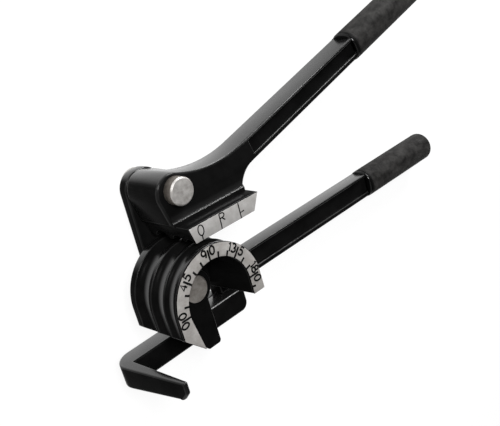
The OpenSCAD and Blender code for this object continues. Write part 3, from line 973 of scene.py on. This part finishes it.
class TickLayout:
    """Geometry Nodes tree that stands ticks round an arc, every third one long."""

    SOCKETS = {"Count": "NodeSocketInt", "Ink": "NodeSocketMaterial"}
    NUMBERS = ("Start", "Step", "Inner", "Short", "Long", "Width", "Height", "Rise")
    NAME = "tick_layout"
    LONG_EVERY = 3.0

    def tree(self) -> bpy.types.NodeTree:
        """Build the tree.

        Returns:
            The node tree with its named inputs.
        """
        tree = bpy.data.node_groups.new(self.NAME, "GeometryNodeTree")
        for name in ("Count", *self.NUMBERS, "Ink"):
            kind = self.SOCKETS.get(name, "NodeSocketFloat")
            tree.interface.new_socket(name, in_out="INPUT", socket_type=kind)
        tree.interface.new_socket("Geometry", in_out="OUTPUT", socket_type="NodeSocketGeometry")
        graph = Graph(tree)
        given = graph.node("NodeGroupInput").outputs
        index = graph.node("GeometryNodeInputIndex").outputs[0]
        angle = graph.math("MULTIPLY_ADD", index, given["Step"], given["Start"])
        whole = graph.math("LESS_THAN", graph.math("MODULO", index, self.LONG_EVERY), 0.5)
        extra = graph.math("MULTIPLY", whole, graph.math("SUBTRACT", given["Long"], given["Short"]))
        length = graph.math("ADD", given["Short"], extra)
        reach = graph.math("MULTIPLY_ADD", length, 0.5, given["Inner"])
        across = graph.math("MULTIPLY", graph.math("COSINE", angle), reach)
        up = graph.math("MULTIPLY", graph.math("SINE", angle), reach)
        spot = graph.node("ShaderNodeCombineXYZ", across, up, given["Height"])
        points = graph.node("GeometryNodePoints", given["Count"], spot.outputs[0])
        block = graph.node("GeometryNodeMeshCube", (1.0, 1.0, 1.0))
        turn = graph.node("ShaderNodeCombineXYZ", 0.0, 0.0, angle)
        size = graph.node("ShaderNodeCombineXYZ", length, given["Width"], given["Rise"])
        laid = graph.node("GeometryNodeInstanceOnPoints", Points=points.outputs[0],
                          Instance=block.outputs[0], Rotation=turn.outputs[0],
                          Scale=size.outputs[0])
        real = graph.node("GeometryNodeRealizeInstances", laid.outputs[0])
        inked = graph.node("GeometryNodeSetMaterial", Geometry=real.outputs[0],
                           Material=given["Ink"])
        graph.node("NodeGroupOutput", inked.outputs[0])
        return tree

    def set(self, modifier: bpy.types.NodesModifier, values: dict[str, object]) -> None:
        """Set the modifier's inputs by name.

        Args:
            modifier: The modifier that uses the tree.
            values: Value of each named input.
        """
        for item in modifier.node_group.interface.items_tree:
            if item.in_out == "INPUT":
                modifier[item.identifier] = values[item.name]


def shoe_turn() -> Matrix:
    """Return the turn of the shoe's own frame in the tool at rest.

    Returns:
        The turn about the bend centre.
    """
    return Matrix.Rotation(math.radians(SHOE_TURN_DEG), 4, "Z")


@dataclass
class ShoeMarks:
    """Marks on the shoe's face, drawn in the shoe's own frame."""

    face_mm: float = 48.7
    line_w_mm: float = 0.56
    zero: Point = (0.55, 29.9)
    zero_size: Point = (2.9, 4.5)
    right: Point = (12.5, 30.3)
    right_size: Point = (2.7, 3.9)
    left: Point = (23.2, 29.9)
    left_size: Point = (2.3, 3.8)
    low_mm: float = 25.7
    high_mm: float = 32.5
    zero_slant_mm: float = 0.1
    right_slant_mm: float = 0.15
    left_drop_mm: float = 0.2

    def build(self) -> bpy.types.Object:
        """Draw the three signs and their lines.

        Returns:
            The finished piece.
        """
        pen = Engraver(self.line_w_mm, self.face_mm)
        signs = (("0", self.zero, self.zero_size), ("R", self.right, self.right_size),
                 ("L", self.left, self.left_size))
        for name, spot, size in signs:
            pen.sign(name, Matrix.Translation((*spot, 0.0)), size)
        stem, foot = self.zero[0], self.zero[1] - self.zero_size[1] / 2
        pen.stroke([(stem, foot), (stem - self.zero_slant_mm, self.low_mm)])
        stem, foot = (self.right[i] - self.right_size[i] / 2 for i in range(2))
        pen.stroke([(stem, foot), (stem - self.right_slant_mm, self.low_mm)])
        stem = self.left[0] - self.left_size[0] / 2
        pen.stroke([(stem, self.low_mm - self.left_drop_mm), (stem, self.high_mm)])
        return pen.finish("shoe_marks", Body.LEVER, shoe_turn())


@dataclass
class FootFillet:
    """Fillet and lip along the lever's foot above the ledge, drawn in the shoe's own frame."""

    seat_mm: float = 32.75
    front_mm: float = 39.7
    ends_mm: Point = (-6.2, 33.8)
    rise_mm: float = 4.9
    lip_out_mm: float = 1.15
    lip_up_mm: float = 1.55
    lip_r_mm: float = 0.3
    sink_mm: float = 0.6
    seam_mm: float = 0.06
    # Upward reach over which the coat, a painted sheen, rises on the fillet
    coat_rise: Point = (0.0, 0.25)
    hollow_steps: int = 10
    lip_steps: int = 4

    def build(self) -> bpy.types.Object:
        """Draw the section along the foot.

        Returns:
            The finished piece.
        """
        hollow, lip, back = self._section()
        section = hollow + lip + back
        work = bmesh.new()
        rows = [[work.verts.new((x * MM, up * MM, out * MM)) for out, up in section]
                for x in self.ends_mm]
        for i in range(len(section)):
            j = (i + 1) % len(section)
            side = work.faces.new((rows[0][i], rows[0][j], rows[1][j], rows[1][i]))
            # The lip's faces take the edge finish, a painted highlight
            side.material_index = int(len(hollow) <= i + 1 < len(hollow) + len(lip))
        for row in rows:
            work.faces.new(row)
        bmesh.ops.recalc_face_normals(work, faces=work.faces)
        mesh = bpy.data.meshes.new("lever_foot")
        work.to_mesh(mesh)
        work.free()
        mesh.transform(shoe_turn())
        for finish in (PAINT, HIGHLIGHT_EDGE_PAINT):
            mesh.materials.append(finish.material())
        smooth_faces(mesh)
        # Lay the coat as a painted sheen that grows as the fillet's faces turn upwards
        mark_coat(mesh, lambda spot, normal: smoothstep(normal.y, *self.coat_rise))
        piece = mesh_object("lever_foot", mesh)
        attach(piece, Body.LEVER.value)
        return piece

    def _section(self) -> tuple[list[Point], list[Point], list[Point]]:
        """Return the hollow, the lip and the hidden back of the section.

        Returns:
            Three runs of points, out from the tool's back and up from its bend centre.
        """
        high = self.rise_mm - self.lip_up_mm
        bend = 2 * math.atan2(self.lip_out_mm, high)
        radius = high / math.sin(bend)
        top, turn = self.seat_mm + self.rise_mm, math.degrees(bend)
        hollow = arc((self.front_mm + radius, top), (radius, radius), 180.0, 180.0 + turn,
                     self.hollow_steps)
        end = Vector(hollow[-1]) - Vector((math.cos(bend), math.sin(bend))) * self.lip_r_mm
        lip = arc((end.x, end.y), (self.lip_r_mm, self.lip_r_mm), turn, 0.0, self.lip_steps)[1:]
        low, sunk = self.seat_mm + self.seam_mm, self.front_mm - self.sink_mm
        return hollow, lip, [(lip[-1][0], low), (sunk, low), (sunk, top)]


@dataclass
class FixedHalf:
    """Former, hook bar, fixed handle and their fastenings."""

    # Reach of the former's grooves whose floors get the coat as a painted highlight
    groove_mm: Point = (18.5, 22.4)
    mouth_mm: float = 138.5
    former_edge_mm: float = 0.35
    hook_edge_mm: float = 0.9
    handle_edge_mm: float = 0.5
    fastenings: tuple[str, ...] = ("centre_washer", "centre_clip", "neck_screw", "neck_dowel",
                                   "handle_screws")

    def build(self, frame: dict) -> list[bpy.types.Object]:
        """Round and dress the fixed half's pieces.

        Args:
            frame: The loaded frame.

        Returns:
            The pieces made.
        """
        body = Body.FRAME
        # The sleeve's finish darkens near its mouth: painted shade
        sleeve = SleeveRubber("fixed_sleeve_rubber", mouth_mm=self.mouth_mm)
        # The centre pin's steel is darker than the lever pin's: painted shade of the pocket it sits
        # in
        pin = TurnedSteel("centre_pin_steel_painted_shade", colour=grey(0.36, 0.07), stain=grey(0.18, 0.1))
        # coat lays a painted sheen on upper sides; groove_mm adds a painted highlight on the
        # former's groove floors
        copies = [
            SoftCopy("former", body, Slot.PAINT, PAINT, SOFT_HIGHLIGHT_EDGE_PAINT, self.former_edge_mm, coat=1.0,
                     groove_mm=self.groove_mm),
            SoftCopy("hook_bar", body, Slot.PAINT, PAINT, SOFT_HIGHLIGHT_EDGE_PAINT, self.hook_edge_mm, coat=1.0),
            SoftCopy("fixed_handle", body, Slot.PAINT, PAINT, HIGHLIGHT_EDGE_PAINT, self.handle_edge_mm,
                     coat=1.0),
            SoftCopy("degree_scale", body, Slot.BARE, DIAL_METAL, PAINT, PLATE_EDGE_MM,
                     front_z=PLATE_FRONT_Z),
            SoftCopy("fixed_grip", body, Slot.GRIP, sleeve, SLEEVE_LIP_PAINTED_SHADE, GRIP_EDGE_MM, split=True),
            SoftCopy("centre_pin", body, Slot.STEEL, pin, PIN_SIDE_PAINTED_SHADE, PIN_EDGE_MM,
                     front_z=PIN_FRONT_Z),
        ]
        dress(frame, self.fastenings, PLAIN_STEEL)
        return [copy.build(frame) for copy in copies] + DegreeScale().build()


@dataclass
class SwingLink:
    """Link between the two pins, with its bushes."""

    edge_mm: float = 0.7
    bushes: tuple[str, ...] = ("centre_bush", "lever_bush")

    def build(self, frame: dict) -> list[bpy.types.Object]:
        """Round and dress the link.

        Args:
            frame: The loaded frame.

        Returns:
            The piece made.
        """
        dress(frame, self.bushes, BEARING_BRONZE)
        # The link's coat is a painted sheen on its upper sides
        link = SoftCopy("link", Body.LINK, Slot.PAINT, PAINT, SOFT_HIGHLIGHT_EDGE_PAINT, self.edge_mm, coat=1.0)
        return [link.build(frame)]


@dataclass
class LeverHalf:
    """Lever with its shoe, pin and grip."""

    pivot_mm: Point = (1.22508, 46.784)
    beam_deg: float = 14.1
    mouth_mm: float = 134.63
    # The head's wider edges carry a soft painted highlight, and its upper sides a full painted
    # sheen
    head: WideEdges = WideEdges(centre_mm=(10.0, 42.0, 33.0), reach_mm=34.0, radius_mm=1.1,
                                edge=SOFT_HIGHLIGHT_EDGE_PAINT, coat=1.0)
    beam_edge_mm: float = 0.5
    # Coat share on the beam: a painted sheen on its upper sides
    beam_coat: float = 0.4
    shoe_edge_mm: float = 0.3
    # Coat share on the shoe: a painted sheen on its upper sides
    shoe_coat: float = 0.1
    fastenings: tuple[str, ...] = ("lever_washer", "lever_clip", "shoe_screws")

    def build(self, frame: dict) -> list[bpy.types.Object]:
        """Round and dress the lever's pieces.

        Args:
            frame: The loaded frame.

        Returns:
            The pieces made.
        """
        body, tilt = Body.LEVER, math.radians(self.beam_deg)
        # The sleeve's finish darkens near its mouth: painted shade
        sleeve = SleeveRubber("lever_sleeve_rubber", axis=(math.cos(tilt), math.sin(tilt), 0.0),
                              mouth_mm=self.mouth_mm)
        pin = TurnedSteel("lever_pin_steel", axis=(self.pivot_mm[0] * MM, self.pivot_mm[1] * MM),
                          colour=grey(0.55, 0.03), stain=grey(0.27, 0.06))
        copies = [
            SoftCopy("lever", body, Slot.PAINT, PAINT, HIGHLIGHT_EDGE_PAINT, self.beam_edge_mm,
                     wide=self.head, coat=self.beam_coat),
            SoftCopy("shoe", body, Slot.PAINT, PAINT, SOFT_HIGHLIGHT_EDGE_PAINT, self.shoe_edge_mm,
                     coat=self.shoe_coat),
            SoftCopy("shoe_scale", body, Slot.BARE, SHOE_METAL, PAINT, PLATE_EDGE_MM,
                     front_z=PLATE_FRONT_Z),
            SoftCopy("lever_grip", body, Slot.GRIP, sleeve, SLEEVE_LIP_PAINTED_SHADE, GRIP_EDGE_MM, split=True),
            SoftCopy("lever_pin", body, Slot.STEEL, pin, PIN_SIDE_PAINTED_SHADE, PIN_EDGE_MM,
                     front_z=PIN_FRONT_Z),
        ]
        dress(frame, self.fastenings, PLAIN_STEEL)
        return [copy.build(frame) for copy in copies] + [FootFillet().build(), ShoeMarks().build()]


def dress(frame: dict, nodes: tuple[str, ...], finish: Finish) -> None:
    """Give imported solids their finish.

    Args:
        frame: The loaded frame.
        nodes: Their nodes.
        finish: The finish.
    """
    for node in nodes:
        slots = frame["nodes"][node].data.materials
        slots.clear()
        slots.append(finish.material())
        LOG.info("%s dressed in %s", node, finish.name)


@dataclass(frozen=True)
class Lamp:
    """Square lamp that faces the tool."""

    name: str
    spot_m: Place
    size_m: float
    watts: float

    def hang(self, aim_m: Place) -> None:
        """Hang the lamp.

        Args:
            aim_m: The place it faces.
        """
        data = bpy.data.lights.new(self.name, "AREA")
        data.size = self.size_m
        data.energy = self.watts
        lamp = bpy.data.objects.new(self.name, data)
        away = Vector(self.spot_m) - Vector(aim_m)
        turn = away.to_track_quat("Z", "Y").to_matrix().to_4x4()
        lamp.matrix_world = Matrix.Translation(self.spot_m) @ turn
        bpy.context.scene.collection.objects.link(lamp)


@dataclass
class Studio:
    """Floor, lights, sky and camera."""

    eye_m: Place = (-0.18063, 0.15875, 0.31962)
    right: Place = (0.7021351, -0.25373614, 0.66530013)
    up: Place = (0.42980522, 0.89596153, -0.11189463)
    back: Place = (-0.56769161, 0.36451462, 0.73814316)
    lens_mm: float = 62.532
    sensor_mm: float = 36.0
    near_m: float = 0.01
    aim_m: Place = (0.04, 0.015, 0.03)
    lamps: tuple[Lamp, ...] = (Lamp("key", (-0.30, 0.42, 0.75), size_m=0.25, watts=8.0),
                               Lamp("rim", (0.525, 0.645, 0.345), size_m=0.3, watts=8.0))
    floor_half_m: float = 4.0
    floor_plain: Colour = grey(0.8)
    floor_soft: Colour = grey(0.12)
    floor_glow: float = 0.9
    sky_low: float = 0.1
    sky_high: float = 0.5
    sky_horizon: float = 1.0
    sky_overhead: float = 0.05

    def build(self) -> None:
        """Set up the whole stage."""
        self._camera()
        self._floor()
        self._sky()
        for lamp in self.lamps:
            lamp.hang(self.aim_m)
        bpy.context.scene.view_settings.view_transform = "Standard"

    def _camera(self) -> None:
        """Place the camera where the photograph was taken from."""
        data = bpy.data.cameras.new("camera")
        data.lens = self.lens_mm
        data.sensor_width = self.sensor_mm
        data.sensor_fit = "HORIZONTAL"
        data.clip_start = self.near_m
        camera = bpy.data.objects.new("camera", data)
        turn = Matrix((self.right, self.up, self.back)).transposed().to_4x4()
        camera.matrix_world = Matrix.Translation(self.eye_m) @ turn
        bpy.context.scene.collection.objects.link(camera)
        bpy.context.scene.camera = camera

    def _floor(self) -> None:
        """Lay a pale floor that reads white and keeps a faint shadow."""
        half = self.floor_half_m
        mesh = bpy.data.meshes.new("floor")
        corners = [(-half, -half, 0), (half, -half, 0), (half, half, 0), (-half, half, 0)]
        mesh.from_pydata(corners, [], [(0, 1, 2, 3)])
        material = bpy.data.materials.new("pale_floor")
        material.use_nodes = True
        material.node_tree.nodes.clear()
        graph = Graph(material.node_tree)
        seen = self._seen(graph)
        plain = graph.node("ShaderNodeBsdfDiffuse", self.floor_plain)
        glow = graph.node("ShaderNodeEmission", grey(1.0), self.floor_glow)
        soft = graph.node("ShaderNodeBsdfDiffuse", self.floor_soft)
        bright = graph.node("ShaderNodeAddShader", glow.outputs[0], soft.outputs[0])
        mixed = graph.node("ShaderNodeMixShader", seen, plain.outputs[0], bright.outputs[0])
        graph.node("ShaderNodeOutputMaterial", mixed.outputs[0])
        mesh.materials.append(material)
        mesh_object("floor", mesh)

    def _sky(self) -> None:
        """Light the tool from a plain sky that is dark overhead and white at the horizon."""
        world = bpy.data.worlds.new("sky")
        bpy.context.scene.world = world
        world.use_nodes = True
        world.node_tree.nodes.clear()
        graph = Graph(world.node_tree)
        place = graph.node("ShaderNodeTexCoord").outputs["Generated"]
        height = graph.node("ShaderNodeSeparateXYZ", place).outputs["Z"]
        fade = graph.node("ShaderNodeMapRange", height, self.sky_low, self.sky_high,
                          self.sky_horizon, self.sky_overhead)
        shine = graph.node("ShaderNodeBackground", grey(1.0), fade.outputs[0])
        graph.node("ShaderNodeOutputWorld", shine.outputs[0])

    def _seen(self, graph: Graph) -> bpy.types.NodeSocket:
        """Return 1 for rays that show the floor directly or in a reflection.

        Args:
            graph: The floor's nodes.

        Returns:
            The socket that holds it.
        """
        path = graph.node("ShaderNodeLightPath").outputs
        either = graph.math("MAXIMUM", path["Is Camera Ray"], path["Is Glossy Ray"])
        return graph.math("MAXIMUM", either, path["Is Transmission Ray"])


def clear_scene() -> None:
    """Remove the objects of Blender's start file."""
    for item in list(bpy.data.objects):
        bpy.data.objects.remove(item)


def main() -> None:
    """Build the dressed tool and its studio."""
    logging.basicConfig(level=logging.INFO, format="%(message)s")
    clear_scene()
    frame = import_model()
    for half in (FixedHalf(), SwingLink(), LeverHalf()):
        for piece in half.build(frame):
            LOG.info("%s has %d faces", piece.name, len(piece.data.polygons))
    Studio().build()


if __name__ == "__main__":
    main()
